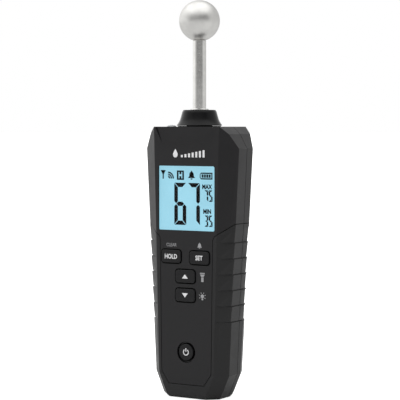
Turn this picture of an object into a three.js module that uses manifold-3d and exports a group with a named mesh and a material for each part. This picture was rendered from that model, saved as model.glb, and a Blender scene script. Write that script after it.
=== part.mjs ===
// Hand-held ball-probe moisture meter. Millimetres, +Z up along the probe.
// The origin is the middle of the bottom face, the display faces -Y and +X is to the right of it.
import * as THREE from "three";
import { ConvexGeometry } from "three/addons/geometries/ConvexGeometry.js";
import { mergeVertices } from "three/addons/utils/BufferGeometryUtils.js";
import Module from "manifold-3d";

const wasm = await Module();
wasm.setup();

// Case: an eight-sided section that narrows downwards.
const caseHeight = 141;
const caseHalfWidth = 28.3;
const footHalfWidth = 22.45;
const frontFace = 13;
const backFace = 13.6;
const frontFlat = 19.9;
const footFrontFlat = 16.7;
const backFlat = 22;
const footBackFlat = 18;
const sideFront = 7.1;
const sideBack = 7;
const footSideBack = 4.4;
const shoulderDrop = 11.3;
const shoulderRound = 3.8;
const topHalfWidth = 20;
const shoulderHalfWidth = 24;
const scoopRise = 2.7;
const scoopHalf = 14.6;
const scoopDepth = 1.2;
const footRise = 12.6;
const footCut = 5.5;
const footBevel = 1.5;
const wall = 2.2;
const seam = 1;
const gap = 0.3;

// Soft grip over the lower part, in a front and a rear half.
const gripThick = 1.4;
const gripUnderWall = 1.6;
const gripTop = 92;
const gripShoulder = 84.6;
const gripBend = 22.5;
const gripEdge = 26.3;
const panelHalf = 15.9;
const panelNarrowing = 0.9;
const rearPanelHalf = 18.3;
const panelBottom = 7.4;
const panelCorner = 6.2;
const ribCount = 6;
const ribTop = 81.3;
const ribPitch = 8.18;
const ribDepth = 0.45;
const grooveDepth = 0.45;
const grooveWidth = 0.5;

// Display.
const windowWidth = 34.2;
const windowHeight = 33.3;
const windowMiddle = 104.05;
const windowSunk = 0.3;
const windowThick = 0.7;
const sealThick = 0.2;
const windowLedge = 1.4;
const windowCorner = 0.8;
const seatCorner = 1;
const glassThick = 2;
const glassSide = 0.9;
const glassFoot = 1.8;
const glassHead = 1.4;
const holderWall = 1.2;

// Keys: [name, x, z] of the four oblong ones, and the round power key.
const keyWidth = 11.9;
const keyHeight = 6.8;
const keyCorner = 1.6;
const keyProud = 0.6;
const keyTravel = 0.6;
const keyClearance = 0.55;
const keyFlange = 0.9;
const keyFlangeThick = 0.6;
const powerRadius = 4.3;
const powerRing = 1.25;
const powerRingDepth = 1.2;
const keyPlaces = [
  ["hold_key", -9, 73.7],
  ["set_key", 8.2, 73.5],
  ["up_key", -0.4, 63.6],
  ["down_key", -0.4, 53.8],
];
const powerHeight = 24.2;

// Boards.
const boardThick = 1.6;
const boardHalf = 17.4;
const boardBottom = 18;
const boardTop = 127;
const boardFront = -5;
const sensorBack = 5.2;
const switchSize = 4.5;
const matThick = 0.6;
const chipHalf = 6;
const chipHeights = [93, 105];
const radioAcross = [-15, -2];
const radioHeights = [110, 125];
const sounderRadius = 5.5;
const sounderX = 10.5;
const sounderHeight = 85;
const sensorHalf = 9;
const sensorLength = 21;

// Probe.
const neckHeight = 8.7;
const neckBase = 11.9;
// The collar's outer curve: [radius, height over the case].
const neckCurve = [
  [neckBase, 0.5],
  [11.6, 1.1],
  [10.9, 2.2],
  [10.35, 3.2],
  [9.95, 4.3],
  [9.5, 5.8],
  [9.15, 7.3],
  [8.85, 8.2],
  [8.35, neckHeight],
];
const rodRadius = 3.5;
const rodInside = 10;
const studRadius = 2.5;
const studLength = 7;
const ballRadius = 10.65;
const ballReach = 46.3;
const ballFlat = 3.9;
const bushWall = 1.2;
const spigotWall = 1.8;
const nutThick = 3;
const fit = 0.1;

// Work light on the top face.
const lampX = -15.6;
const lampY = -2.6;
const lampRadius = 2.5;
const lampProud = 0.9;
const lampFlange = 3.3;

// Batteries, tray and door.
const cellRadius = 5.25;
const cellLength = 44.5;
const cellSpace = 0.25;
const cellDepth = 4.6;
const trayBottom = 16.5;
const trayWall = 1.2;
const springLength = 5.2;
const doorThick = 2.2;
const doorHalf = 17;
const doorBottom = 15;
const doorTop = 77;
const doorLedge = 0.8;
const doorFootLedge = 2.3;
const doorScrewDrop = 3.8;
const lipWall = 0.9;

// Fasteners.
const screwRadius = 1.4;
const screwHead = 2.5;
const screwHeadThick = 1.4;
const screwSunk = 0.4;
const screwTip = -4;
const doorScrewTip = 4.5;
const bossRadius = 3;
const upperScrewX = 21.5;
const upperScrewSunk = 3.4;
const upperBossRadius = 4;
const upperScrewHeights = [123, 99];
const lowerScrewX = 9;
const lowerScrewRoom = 0.9;

const housingBlack = { color: 0x343236, roughness: 0.62, metalness: 0 };
const rubberBlack = { color: 0x262628, roughness: 0.8, metalness: 0 };
const keyBlack = { color: 0x2b2a2e, roughness: 0.7, metalness: 0 };
const glossBlack = { color: 0x1b1b1d, roughness: 0.35, metalness: 0 };
const steel = { color: 0xb9bbbd, roughness: 0.3, metalness: 1 };
const chrome = { color: 0xd4d5d7, roughness: 0.12, metalness: 1 };
const brass = { color: 0xb08d45, roughness: 0.35, metalness: 1 };
const clear = { color: 0xd9eef4, roughness: 0.05, metalness: 0 };
const litBlue = { color: 0x9fd8e8, roughness: 0.4, metalness: 0 };
const white = { color: 0xe6e6e2, roughness: 0.5, metalness: 0 };
const boardGreen = { color: 0x1f5a35, roughness: 0.5, metalness: 0 };
const chipBlack = { color: 0x161617, roughness: 0.5, metalness: 0 };
const cellBlue = { color: 0x27405e, roughness: 0.35, metalness: 0.2 };
const wireRed = { color: 0xa02a22, roughness: 0.5, metalness: 0 };

const group = new THREE.Group();

// ---- solids ----

function solid(geometry) {
  const bare = geometry.clone();
  bare.deleteAttribute("normal");
  bare.deleteAttribute("uv");
  const merged = mergeVertices(bare, 1e-4);
  const mesh = new wasm.Mesh({
    numProp: 3,
    vertProperties: new Float32Array(merged.attributes.position.array),
    triVerts: new Uint32Array(merged.index.array),
  });
  return new wasm.Manifold(mesh);
}

function add(name, shape, finish) {
  const mesh = shape.getMesh();
  const geometry = new THREE.BufferGeometry();
  geometry.setAttribute("position", new THREE.BufferAttribute(new Float32Array(mesh.vertProperties), 3));
  geometry.setIndex(new THREE.BufferAttribute(new Uint32Array(mesh.triVerts), 1));
  geometry.computeVertexNormals();
  const piece = new THREE.Mesh(geometry, new THREE.MeshStandardMaterial(finish));
  piece.name = name;
  group.add(piece);
}

function hull(points) {
  return solid(new ConvexGeometry(points));
}

function box(x, y, z) {
  const geometry = new THREE.BoxGeometry(x[1] - x[0], y[1] - y[0], z[1] - z[0]);
  geometry.translate((x[0] + x[1]) / 2, (y[0] + y[1]) / 2, (z[0] + z[1]) / 2);
  return solid(geometry);
}

// A round body about the upright line through (x, y), from [radius, height] pairs.
function turned(profile, segments, x = 0, y = 0) {
  const points = profile.map(([r, z]) => new THREE.Vector2(r, z));
  const geometry = new THREE.LatheGeometry(points, segments);
  geometry.rotateX(Math.PI / 2);
  geometry.translate(x, y, 0);
  return solid(geometry);
}

// The same about a line along +Y through (x, z), from [radius, y] pairs.
function turnedAlongY(profile, segments, x, z) {
  const points = profile.map(([r, y]) => new THREE.Vector2(r, y));
  const geometry = new THREE.LatheGeometry(points, segments);
  geometry.translate(x, 0, z);
  return solid(geometry);
}

function washer(inner, outer, bottom, top) {
  return [[inner, bottom], [outer, bottom], [outer, top], [inner, top], [inner, bottom]];
}

function plug(radius, bottom, top) {
  return [[0, bottom], [radius, bottom], [radius, top], [0, top]];
}

// A front-view outline, x across and z up, carried from one depth to another.
function plate(shape, y, curveSegments = 3) {
  const depth = y[1] - y[0];
  const geometry = new THREE.ExtrudeGeometry(shape, { depth, bevelEnabled: false, curveSegments });
  geometry.rotateX(Math.PI / 2);
  geometry.translate(0, y[1], 0);
  return solid(geometry);
}

function roundedRect(x, z, width, height, corner) {
  const shape = new THREE.Shape();
  const left = x - width / 2;
  const right = x + width / 2;
  const bottom = z - height / 2;
  const top = z + height / 2;
  shape.moveTo(left + corner, bottom);
  shape.lineTo(right - corner, bottom);
  shape.absarc(right - corner, bottom + corner, corner, -Math.PI / 2, 0, false);
  shape.lineTo(right, top - corner);
  shape.absarc(right - corner, top - corner, corner, 0, Math.PI / 2, false);
  shape.lineTo(left + corner, top);
  shape.absarc(left + corner, top - corner, corner, Math.PI / 2, Math.PI, false);
  shape.lineTo(left, bottom + corner);
  shape.absarc(left + corner, bottom + corner, corner, Math.PI, 1.5 * Math.PI, false);
  return shape;
}

// Moves every edge of a closed outline that runs anticlockwise outwards by a distance.
function grown(outline, distance) {
  const count = outline.length;
  return outline.map((point, i) => {
    const before = outline[(i + count - 1) % count];
    const after = outline[(i + 1) % count];
    const a = new THREE.Vector2(point.y - before.y, before.x - point.x).normalize();
    const b = new THREE.Vector2(after.y - point.y, point.x - after.x).normalize();
    const push = a.clone().add(b).multiplyScalar(distance / (1 + a.dot(b)));
    return point.clone().add(push);
  });
}

// ---- case section ----

const shoulderHeight = caseHeight - shoulderDrop;

function between(atFoot, atShoulder, z) {
  return atFoot + ((atShoulder - atFoot) * (z - footRise)) / (shoulderHeight - footRise);
}

// Right half of the section at a height, from front to back.
function rightHalf(z) {
  const width = between(footHalfWidth, caseHalfWidth, z);
  return [
    new THREE.Vector2(between(footFrontFlat, frontFlat, z), -frontFace),
    new THREE.Vector2(width, -sideFront),
    new THREE.Vector2(width, between(footSideBack, sideBack, z)),
    new THREE.Vector2(between(footBackFlat, backFlat, z), backFace),
  ];
}

function bothHalves(right) {
  const left = right.map((p) => new THREE.Vector2(-p.x, p.y)).reverse();
  return right.concat(left);
}

function atHeight(outline, z) {
  return outline.map((p) => new THREE.Vector3(p.x, p.y, z));
}

// The section cut off at a half width, for the sloping shoulders.
function cutSection(z, limit) {
  const [front, sideFront, sideBack, back] = rightHalf(z);
  const cut = (inner, outer) => {
    const share = (limit - inner.x) / (outer.x - inner.x);
    return new THREE.Vector2(limit, inner.y + share * (outer.y - inner.y));
  };
  const frontCorner = new THREE.Vector2(limit, -frontFace);
  const backCorner = new THREE.Vector2(limit, backFace);
  const frontPart = limit <= front.x ? [frontCorner] : [front, cut(front, sideFront)];
  const backPart = limit <= back.x ? [backCorner] : [cut(back, sideBack), back];
  return frontPart.concat(backPart);
}

function caseRings(inset) {
  const low = rightHalf(footRise);
  const foot = low.map((p) => new THREE.Vector2(p.x - (footCut * (footRise - footBevel)) / footRise, p.y));
  const rings = [
    [grown(bothHalves(foot), -footBevel), 0],
    [bothHalves(foot), footBevel],
    [bothHalves(low), footRise],
    [bothHalves(rightHalf(shoulderHeight)), shoulderHeight],
    [bothHalves(cutSection(shoulderHeight, shoulderHalfWidth)), caseHeight - shoulderRound],
    [bothHalves(cutSection(shoulderHeight, topHalfWidth)), caseHeight],
  ];
  const last = rings.length - 1;
  return rings.map(([outline, z], i) => {
    const lift = i === 0 ? inset : i === last ? -inset : 0;
    return atHeight(grown(outline, -inset), z + lift);
  });
}

function caseHull(inset) {
  return hull(caseRings(inset).flat());
}

// The hollow: thin walls above the grip, and room for the grip below.
function hollow() {
  const gripInset = gripThick + gap + gripUnderWall;
  const upper = caseHull(wall).intersect(slab(gripTop + gap, caseHeight));
  return upper.add(caseHull(gripInset).intersect(slab(0, caseHeight - gripInset)));
}

// The hard surface: the upper case and the tongue that runs down between the grip's two legs.
function hardOutline(half) {
  const reach = 40;
  const right = [
    new THREE.Vector2(half - panelNarrowing - panelCorner * 0.7, panelBottom),
    new THREE.Vector2(half - panelNarrowing, panelBottom + panelCorner),
    new THREE.Vector2(half, gripShoulder - 1.7),
    new THREE.Vector2(half + 0.9, gripShoulder),
    new THREE.Vector2(gripBend, gripTop - 3.4),
    new THREE.Vector2(gripEdge, gripTop - 0.7),
    new THREE.Vector2(reach, gripTop),
    new THREE.Vector2(reach, caseHeight + reach),
  ];
  return bothHalves(right);
}

function hardZone(half, grow) {
  return plate(new THREE.Shape(grown(hardOutline(half), grow)), [-30, 30]);
}

// The case with its ribbed sides: each rib stands out at its top and sinks towards the groove below it.
function ribbedHull() {
  let body = caseHull(0);
  for (let i = 0; i < ribCount; i += 1) {
    const low = ribTop - i * ribPitch;
    const high = low + ribPitch - gap;
    const rib = hull([...ribRing(low, ribDepth), ...ribRing(high, 0)]);
    const top = low + grooveWidth;
    const root = ribDepth + grooveDepth;
    const groove = hull([...ribRing(low, root), ...ribRing(top, root)]);
    body = body.subtract(slab(low, high).subtract(rib)).subtract(slab(low, top).subtract(groove));
  }
  return body;
}

function slab(low, high) {
  return box([-50, 50], [-50, 50], [low, high]);
}

function ribRing(z, sink) {
  const [front, sideFront, sideBack, back] = rightHalf(z);
  const middle = (a, b) => a.clone().add(b).multiplyScalar(0.5);
  const sunk = (p) => new THREE.Vector2(p.x - sink, p.y);
  const right = [
    front,
    middle(front, sideFront),
    sunk(sideFront),
    sunk(sideBack),
    middle(sideBack, back),
    back,
  ];
  return atHeight(bothHalves(right), z);
}

function frontHalf(shape) {
  return shape.intersect(box([-50, 50], [-50, seam - gap / 2], [-5, 200]));
}

function rearHalf(shape) {
  return shape.intersect(box([-50, 50], [seam + gap / 2, 50], [-5, 200]));
}

// ---- places worked out from the sizes ----

const lowerInset = gripThick + gap + gripUnderWall;
const panelBack = -frontFace + lowerInset;
const windowFront = -frontFace + windowSunk;
const windowBack = windowFront + windowThick;
const glassFront = windowBack + sealThick + 2 * fit;
const glassBack = glassFront + glassThick;
const windowLow = windowMiddle - windowHeight / 2;
const windowHigh = windowMiddle + windowHeight / 2;
const glassHalf = windowWidth / 2 + glassSide;
const glassLow = windowLow - glassFoot;
const glassHigh = windowHigh + glassHead;
const flangeFront = panelBack + gap;
const flangeBack = flangeFront + keyFlangeThick;
const matFront = flangeBack + keyTravel + fit;
const switchFront = matFront + matThick + fit;
const boardBack = boardFront + boardThick;
const neckTop = caseHeight + neckHeight;
const rodBottom = caseHeight - rodInside;
const ballCentre = neckTop + ballReach;
const topHole = [caseHeight - 3 * wall, caseHeight + wall];
const ballSeat = ballCentre - Math.sqrt(ballRadius ** 2 - ballFlat ** 2);
const rodTop = ballSeat - fit;
const bushInner = rodRadius + fit;
const bushOuter = bushInner + bushWall;
const spigotInner = bushOuter + fit;
const spigotOuter = spigotInner + spigotWall;
const topWallInside = caseHeight - wall;
const nutTop = topWallInside - fit;
const nutBottom = nutTop - nutThick;
const spigotBottom = nutBottom - 0.5;
const gasketTop = caseHeight + 0.5;
const openHalf = doorHalf + gap - doorLedge;
const openBottom = doorBottom - gap + doorFootLedge;
const doorFront = backFace - doorThick;
const doorScrewHeight = doorTop - doorScrewDrop;
const cellPitch = 2 * cellRadius + cellSpace;
const trayHalf = cellPitch + cellRadius + 0.5 + trayWall;
const trayFloor = cellDepth - cellRadius - 0.5 - trayWall;
const trayLow = trayBottom + trayWall;
const trayHigh = trayLow + cellLength + springLength + 1.1;
const trayTop = trayHigh + trayWall;
const openTop = trayHigh + gap;
const lowerScrewHeight = panelBottom + screwHead + lowerScrewRoom;
const screwPlaces = [];
for (const side of [-1, 1]) {
  for (const z of upperScrewHeights) {
    screwPlaces.push({ x: side * upperScrewX, z, sunk: upperScrewSunk, boss: upperBossRadius });
  }
  screwPlaces.push({ x: side * lowerScrewX, z: lowerScrewHeight, sunk: screwSunk, boss: bossRadius });
}

// ---- case ----

function rimScoop() {
  const low = shoulderHeight + scoopRise;
  const high = caseHeight + 0.7;
  const corners = [];
  for (const side of [-1, 1]) {
    for (const out of [0, 3]) {
      corners.push(new THREE.Vector3(side * scoopHalf, -frontFace - out, low));
    }
    for (const back of [scoopDepth, -3]) {
      corners.push(new THREE.Vector3(side * (topHalfWidth - 0.3), -frontFace + back, high));
    }
  }
  return hull(corners);
}

function keyOpening(x, z) {
  const width = keyWidth + 2 * keyClearance;
  const height = keyHeight + 2 * keyClearance;
  const corner = keyCorner + keyClearance;
  return plate(roundedRect(x, z, width, height, corner), [-frontFace - 2, panelBack + 2]);
}

function windowOutline(wider, corner) {
  return roundedRect(0, windowMiddle, windowWidth + 2 * wider, windowHeight + 2 * wider, corner);
}

function windowCut() {
  const through = plate(windowOutline(0, windowCorner), [-frontFace - 2, 0]);
  const rebate = plate(windowOutline(windowLedge + fit, seatCorner), [windowFront - fit, 0]);
  const half = glassHalf + fit;
  const pocket = box([-half, half], [glassFront - fit, 0], [glassLow - fit, glassHigh + fit]);
  return through.add(rebate).add(pocket);
}

function boss(radius, x, z, from, to) {
  return turnedAlongY(plug(radius, from, to), 16, x, z);
}

function screwHole(x, z, from, to) {
  return turnedAlongY(plug(screwRadius + gap, from, to), 10, x, z);
}

function frontCase() {
  const cover = caseHull(0).intersect(hardZone(panelHalf, 0));
  let shell = cover.add(caseHull(gripThick + gap)).subtract(hollow());
  shell = frontHalf(shell);
  const inside = caseHull(gripThick + gap);
  for (const { x, z } of screwPlaces) {
    shell = shell.add(boss(bossRadius, x, z, panelBack - 0.6, seam - gap / 2).intersect(inside));
    shell = shell.subtract(screwHole(x, z, screwTip - 2, 5));
  }
  shell = shell.subtract(rimScoop()).subtract(windowCut());
  for (const [, x, z] of keyPlaces) {
    shell = shell.subtract(keyOpening(x, z));
  }
  const powerHole = powerRadius + powerRing;
  const recess = plug(powerHole, -frontFace - 2, -frontFace + powerRingDepth);
  shell = shell.subtract(turnedAlongY(recess, 32, 0, powerHeight));
  const through = plug(powerRadius + keyClearance, -20, panelBack + 1);
  shell = shell.subtract(turnedAlongY(through, 32, 0, powerHeight));
  shell = shell.subtract(turned(plug(spigotOuter + gap, ...topHole), 24));
  shell = shell.subtract(turned(plug(lampRadius + gap, ...topHole), 20, lampX, lampY));
  shell = shell.subtract(turned(plug(lampFlange + gap, topHole[0], topWallInside), 20, lampX, lampY));
  add("front_case", shell, housingBlack);
}

function doorRecess() {
  const width = 2 * (doorHalf + gap);
  const height = doorTop - doorBottom + 2 * gap;
  const middle = (doorTop + doorBottom) / 2;
  const rebate = plate(roundedRect(0, middle, width, height, 1.8), [doorFront - fit, 30]);
  const open = roundedRect(0, (openTop + openBottom) / 2, 2 * openHalf, openTop - openBottom, 1);
  return rebate.add(plate(open, [trayFloor, 30]));
}

function rearCase() {
  const cover = caseHull(0).intersect(hardZone(rearPanelHalf, 0));
  let shell = cover.add(caseHull(gripThick + gap)).subtract(hollow());
  shell = rearHalf(shell);
  const inside = caseHull(gripThick + gap);
  for (const { x, z, sunk, boss: radius } of screwPlaces) {
    shell = shell.add(boss(radius, x, z, seam + gap / 2, backFace - 1).intersect(inside));
    shell = shell.subtract(screwHole(x, z, -5, 30));
    shell = shell.subtract(headHole(x, z, sunk));
  }
  shell = shell.add(boss(bossRadius, 0, doorScrewHeight, seam + gap / 2 + 2, doorFront - fit));
  shell = shell.subtract(doorRecess());
  shell = shell.subtract(screwHole(0, doorScrewHeight, seam, 30));
  shell = shell.subtract(turned(plug(spigotOuter + gap, ...topHole), 24));
  add("rear_case", shell, housingBlack);
}

function screwSeat(sunk) {
  return backFace - sunk - screwHeadThick;
}

function headHole(x, z, sunk) {
  return turnedAlongY(plug(screwHead + gap, screwSeat(sunk) - fit, 30), 16, x, z);
}

function screw(x, z, tip, sunk) {
  const seat = screwSeat(sunk);
  const profile = [[0, tip], [screwRadius, tip], [screwRadius, seat], [screwHead, seat]];
  profile.push([screwHead, seat + screwHeadThick], [0, seat + screwHeadThick]);
  return turnedAlongY(profile, 12, x, z);
}

function grips() {
  const skin = ribbedHull().subtract(caseHull(gripThick));
  add("front_grip", frontHalf(skin.subtract(hardZone(panelHalf, gap))), rubberBlack);
  add("rear_grip", rearHalf(skin.subtract(hardZone(rearPanelHalf, gap))), rubberBlack);
}

function caseScrews() {
  screwPlaces.forEach(({ x, z, sunk }, i) => {
    add(`case_screw_${i + 1}`, screw(x, z, screwTip, sunk), steel);
  });
}

// ---- display ----

function display() {
  const pane = windowOutline(windowLedge, seatCorner);
  add("display_window", plate(pane, [windowFront, windowBack]), clear);
  const sealOuter = windowOutline(windowLedge, seatCorner);
  sealOuter.holes.push(windowOutline(gap, seatCorner));
  add("window_seal", plate(sealOuter, [windowBack + fit, glassFront - fit]), chipBlack);
  const glass = box([-glassHalf, glassHalf], [glassFront, glassBack], [glassLow, glassHigh]);
  add("lcd_glass", glass, litBlue);

  const holderDepth = [glassBack + fit, boardFront - fit];
  const holder = box([-glassHalf, glassHalf], holderDepth, [windowLow, glassHigh]);
  const pocketHalf = glassHalf - holderWall;
  const pocketDepth = [holderDepth[0] - 1, holderDepth[1] - 0.9];
  const pocketHeights = [windowLow + holderWall, glassHigh - holderWall];
  const pocket = box([-pocketHalf, pocketHalf], pocketDepth, pocketHeights);
  add("lcd_holder", holder.subtract(pocket), white);
  const lightHalf = pocketHalf - fit;
  const lightDepth = [holderDepth[0] + fit, pocketDepth[1] - fit];
  const light = box([-lightHalf, lightHalf], lightDepth, [pocketHeights[0] + fit, pocketHeights[1] - fit]);
  add("backlight_panel", light, white);
  const stripHalf = glassHalf - 2;
  const strip = box([-stripHalf, stripHalf], holderDepth, [glassLow, windowLow - fit]);
  add("lcd_contact_strip", strip, rubberBlack);
}

// ---- keys ----

function keys() {
  const face = -frontFace - keyProud;
  for (const [name, x, z] of keyPlaces) {
    const cap = plate(roundedRect(x, z, keyWidth, keyHeight, keyCorner), [face, flangeBack]);
    const wide = keyWidth + 2 * (keyClearance + keyFlange);
    const tall = keyHeight + 2 * (keyClearance + keyFlange * 0.5);
    const flange = plate(roundedRect(x, z, wide, tall, keyCorner), [flangeFront, flangeBack]);
    add(name, cap.add(flange), keyBlack);
  }
  const round = [[0, face + gap], [powerRadius, face + gap], [powerRadius, flangeFront]];
  round.push([powerRadius + keyFlange, flangeFront], [powerRadius + keyFlange, flangeBack], [0, flangeBack]);
  add("power_key", turnedAlongY(round, 32, 0, powerHeight), keyBlack);
}

function keyMat() {
  const left = keyPlaces[0][1] - keyWidth / 2 - 1;
  const high = keyPlaces[0][2] + keyHeight / 2 + 1;
  const low = powerHeight - powerRadius - 1;
  const half = Math.min(-left, boardHalf - 1);
  const mat = roundedRect(0, (high + low) / 2, 2 * half, high - low, 2);
  add("key_mat", plate(mat, [matFront, matFront + matThick]), rubberBlack);
}

function keySwitches() {
  const places = [...keyPlaces, ["power_key", 0, powerHeight]];
  for (const [name, x, z] of places) {
    const half = switchSize / 2;
    const can = box([x - half, x + half], [switchFront + 0.6, boardFront - fit], [z - half, z + half]);
    const button = turnedAlongY(plug(1.2, switchFront, switchFront + 1), 16, x, z);
    add(name.replace("_key", "_switch"), can.add(button), steel);
  }
}

// ---- boards ----

function boards() {
  const back = boardBack + fit;
  const main = box([-boardHalf, boardHalf], [boardFront, boardBack], [boardBottom, boardTop]);
  add("main_board", main, boardGreen);
  add("processor_chip", box([-chipHalf, chipHalf], [back, back + 1.4], chipHeights), chipBlack);
  add("radio_module", box(radioAcross, [back, back + 2.2], radioHeights), steel);
  const sounder = turnedAlongY(plug(sounderRadius, back, back + 4.2), 28, sounderX, sounderHeight);
  add("sounder", sounder, chipBlack);
  const sensorTop = rodBottom - 3.3;
  const sensorHeights = [sensorTop - sensorLength, sensorTop];
  const sensor = box([-sensorHalf, sensorHalf], [sensorBack - 1.2, sensorBack], sensorHeights);
  add("sensor_board", sensor, boardGreen);
}

// ---- probe ----

function probe() {
  const stud = rodTop + studLength;
  const rod = [[0, rodBottom], [rodRadius, rodBottom], [rodRadius, rodTop], [studRadius, rodTop]];
  rod.push([studRadius, stud], [0, stud]);
  add("probe_rod", turned(rod, 28), chrome);

  const steps = 16;
  const socket = studRadius + fit;
  const ball = [[socket, stud + fit], [socket, ballSeat]];
  const start = Math.asin(ballFlat / ballRadius);
  for (let i = 0; i <= steps; i += 1) {
    const angle = start + ((Math.PI - start) * i) / steps;
    const radius = i === steps ? 0 : ballRadius * Math.sin(angle);
    ball.push([radius, ballCentre - ballRadius * Math.cos(angle)]);
  }
  ball.unshift([0, stud + fit]);
  add("probe_ball", turned(ball, 36), steel);

  const flare = [[spigotInner, spigotBottom], [spigotOuter, spigotBottom], [spigotOuter, gasketTop]];
  flare.push(...neckCurve.map(([radius, rise]) => [radius, caseHeight + rise]));
  flare.push([spigotInner, neckTop], [spigotInner, spigotBottom]);
  add("probe_collar", turned(flare, 36), glossBlack);
  const gasket = washer(spigotOuter + gap, neckBase - 0.6, caseHeight, gasketTop - fit);
  add("collar_gasket", turned(gasket, 24), rubberBlack);
  const bush = washer(bushInner, bushOuter, rodBottom + 3.2, neckTop - fit);
  add("probe_bush", turned(bush, 24), white);
  add("rod_ring", turned(washer(rodRadius + fit, bushOuter, neckTop + fit, neckTop + 0.6), 28), chrome);
  add("collar_nut", nut(spigotOuter + fit, spigotOuter + 2.6, nutBottom, nutTop), brass);
  add("rod_nut", nut(rodRadius + fit, rodRadius + 2.6, rodBottom + 0.2, rodBottom + 2.4), brass);
  const terminal = washer(rodRadius + fit, rodRadius + 1.6, rodBottom + 2.5, rodBottom + 3.1);
  add("rod_terminal", turned(terminal, 24), brass);
  const lead = new THREE.CatmullRomCurve3([
    new THREE.Vector3(0, rodRadius + 2.3, rodBottom + 3.1),
    new THREE.Vector3(0, rodRadius + 4, rodBottom + 3.1),
    new THREE.Vector3(0, rodRadius + 4.8, rodBottom - 1.3),
    new THREE.Vector3(0, sensorBack + 1.8, rodBottom - 6.3),
    new THREE.Vector3(0, sensorBack + 0.8, rodBottom - 8.8),
  ]);
  const section = new THREE.Shape().absarc(0, 0, 0.5, 0, 2 * Math.PI, false);
  const cable = new THREE.ExtrudeGeometry(section, { steps: 14, curveSegments: 4, extrudePath: lead });
  add("probe_lead", solid(cable), wireRed);
}

function nut(inner, outer, bottom, top) {
  return turned(plug(outer, bottom, top), 6).subtract(turned(plug(inner, bottom - 1, top + 1), 20));
}

function workLight() {
  const seat = topWallInside - fit;
  const lens = [[0, seat - 1], [lampFlange, seat - 1], [lampFlange, seat], [lampRadius, seat]];
  const crown = caseHeight + lampProud;
  lens.push([lampRadius, crown - 0.6], [lampRadius * 0.8, crown - 0.2]);
  lens.push([lampRadius * 0.4, crown - 0.02], [0, crown]);
  add("lamp_lens", turned(lens, 20, lampX, lampY), clear);
  add("lamp_diode", boxUnderLamp(1.2, 1.2, [seat - 1.9, seat - 1.1]), white);
  add("lamp_board", boxUnderLamp(3.4, 2.8, [seat - 2.8, seat - 2]), boardGreen);
}

function boxUnderLamp(halfWidth, halfDepth, heights) {
  const across = [lampX - halfWidth, lampX + halfWidth];
  return box(across, [lampY - halfDepth, lampY + halfDepth], heights);
}

// ---- batteries ----

function cell(name, x, up) {
  const low = up ? trayHigh - fit - cellLength : trayLow + fit;
  const nub = 1.4;
  const reach = cellLength - nub;
  const profile = [[0, 0], [cellRadius - 0.6, 0], [cellRadius, 0.6], [cellRadius, reach - 0.6]];
  profile.push([cellRadius - 0.6, reach], [1.9, reach], [1.9, cellLength], [0, cellLength]);
  const body = turned(profile, 20);
  const standing = up ? body : body.rotate([180, 0, 0]).translate([0, 0, cellLength]);
  add(name, standing.translate([x, cellDepth, low + (up ? -0.5 : 0.5)]), cellBlue);
}

function spring(name, x, low, high) {
  const turns = 3;
  const wire = 0.35;
  const points = [];
  for (let i = 0; i <= turns * 8; i += 1) {
    const angle = (i * Math.PI) / 4;
    const share = i / (turns * 8);
    const radius = 3.2 - share;
    const z = low + wire + (high - low - 2 * wire) * share;
    points.push(new THREE.Vector3(x + radius * Math.cos(angle), cellDepth + radius * Math.sin(angle), z));
  }
  const curve = new THREE.CatmullRomCurve3(points);
  const section = new THREE.Shape().absarc(0, 0, wire, 0, 2 * Math.PI, false);
  const route = { steps: turns * 9, curveSegments: 2, extrudePath: curve };
  add(name, solid(new THREE.ExtrudeGeometry(section, route)), steel);
}

function batteryBay() {
  const rim = cellDepth + 0.4;
  const outer = box([-trayHalf, trayHalf], [trayFloor, rim], [trayBottom, trayTop]);
  const innerHalf = trayHalf - trayWall;
  const inner = box([-innerHalf, innerHalf], [trayFloor + trayWall, rim + 5], [trayLow, trayHigh]);
  add("battery_tray", outer.subtract(inner), rubberBlack);
  const contactHalf = trayHalf - trayWall - 0.4;
  const contactDepth = [trayFloor + trayWall + 0.4, rim];
  const across = [-contactHalf, contactHalf];
  add("lower_contact", box(across, contactDepth, [trayLow, trayLow + 0.35]), steel);
  add("upper_contact", box(across, contactDepth, [trayHigh - 0.35, trayHigh]), steel);
  cell("battery_cell_1", -cellPitch, true);
  cell("battery_cell_2", 0, false);
  cell("battery_cell_3", cellPitch, true);
  const springHigh = trayHigh - fit - cellLength - 0.5 - fit;
  spring("cell_spring_1", -cellPitch, trayLow + 0.45, springHigh);
  spring("cell_spring_3", cellPitch, trayLow + 0.45, springHigh);
  spring("cell_spring_2", 0, trayLow + cellLength + 0.5 + 2 * fit, trayHigh - 0.45);
}

function batteryDoor() {
  const middle = (doorTop + doorBottom) / 2;
  const height = doorTop - doorBottom;
  let door = plate(roundedRect(0, middle, 2 * doorHalf, height, 1.5), [doorFront, backFace]);
  const openMiddle = (openTop + openBottom) / 2;
  const openHeight = openTop - openBottom;
  const lipGap = gap + 0.8;
  const lip = roundedRect(0, openMiddle, 2 * (openHalf - lipGap), openHeight - 2 * lipGap, 1);
  const lipInner = lipGap + lipWall;
  const hole = roundedRect(0, openMiddle, 2 * (openHalf - lipInner), openHeight - 2 * lipInner, 0.6);
  lip.holes.push(hole);
  const lipFront = doorFront - lipWall;
  door = door.add(plate(lip, [lipFront, doorFront + 0.5]));
  door = door.subtract(screwHole(0, doorScrewHeight, 0, 30));
  door = door.subtract(headHole(0, doorScrewHeight, screwSunk));
  add("battery_door", door, housingBlack);
  const seal = roundedRect(0, openMiddle, 2 * (openHalf - gap), openHeight - 2 * gap, 1);
  const sealInner = openHalf - lipGap + fit;
  seal.holes.push(roundedRect(0, openMiddle, 2 * sealInner, openHeight - 2 * (lipGap - fit), 1));
  add("door_seal", plate(seal, [lipFront, doorFront - fit]), rubberBlack);
  add("door_screw", screw(0, doorScrewHeight, doorScrewTip, screwSunk), steel);
}

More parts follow.
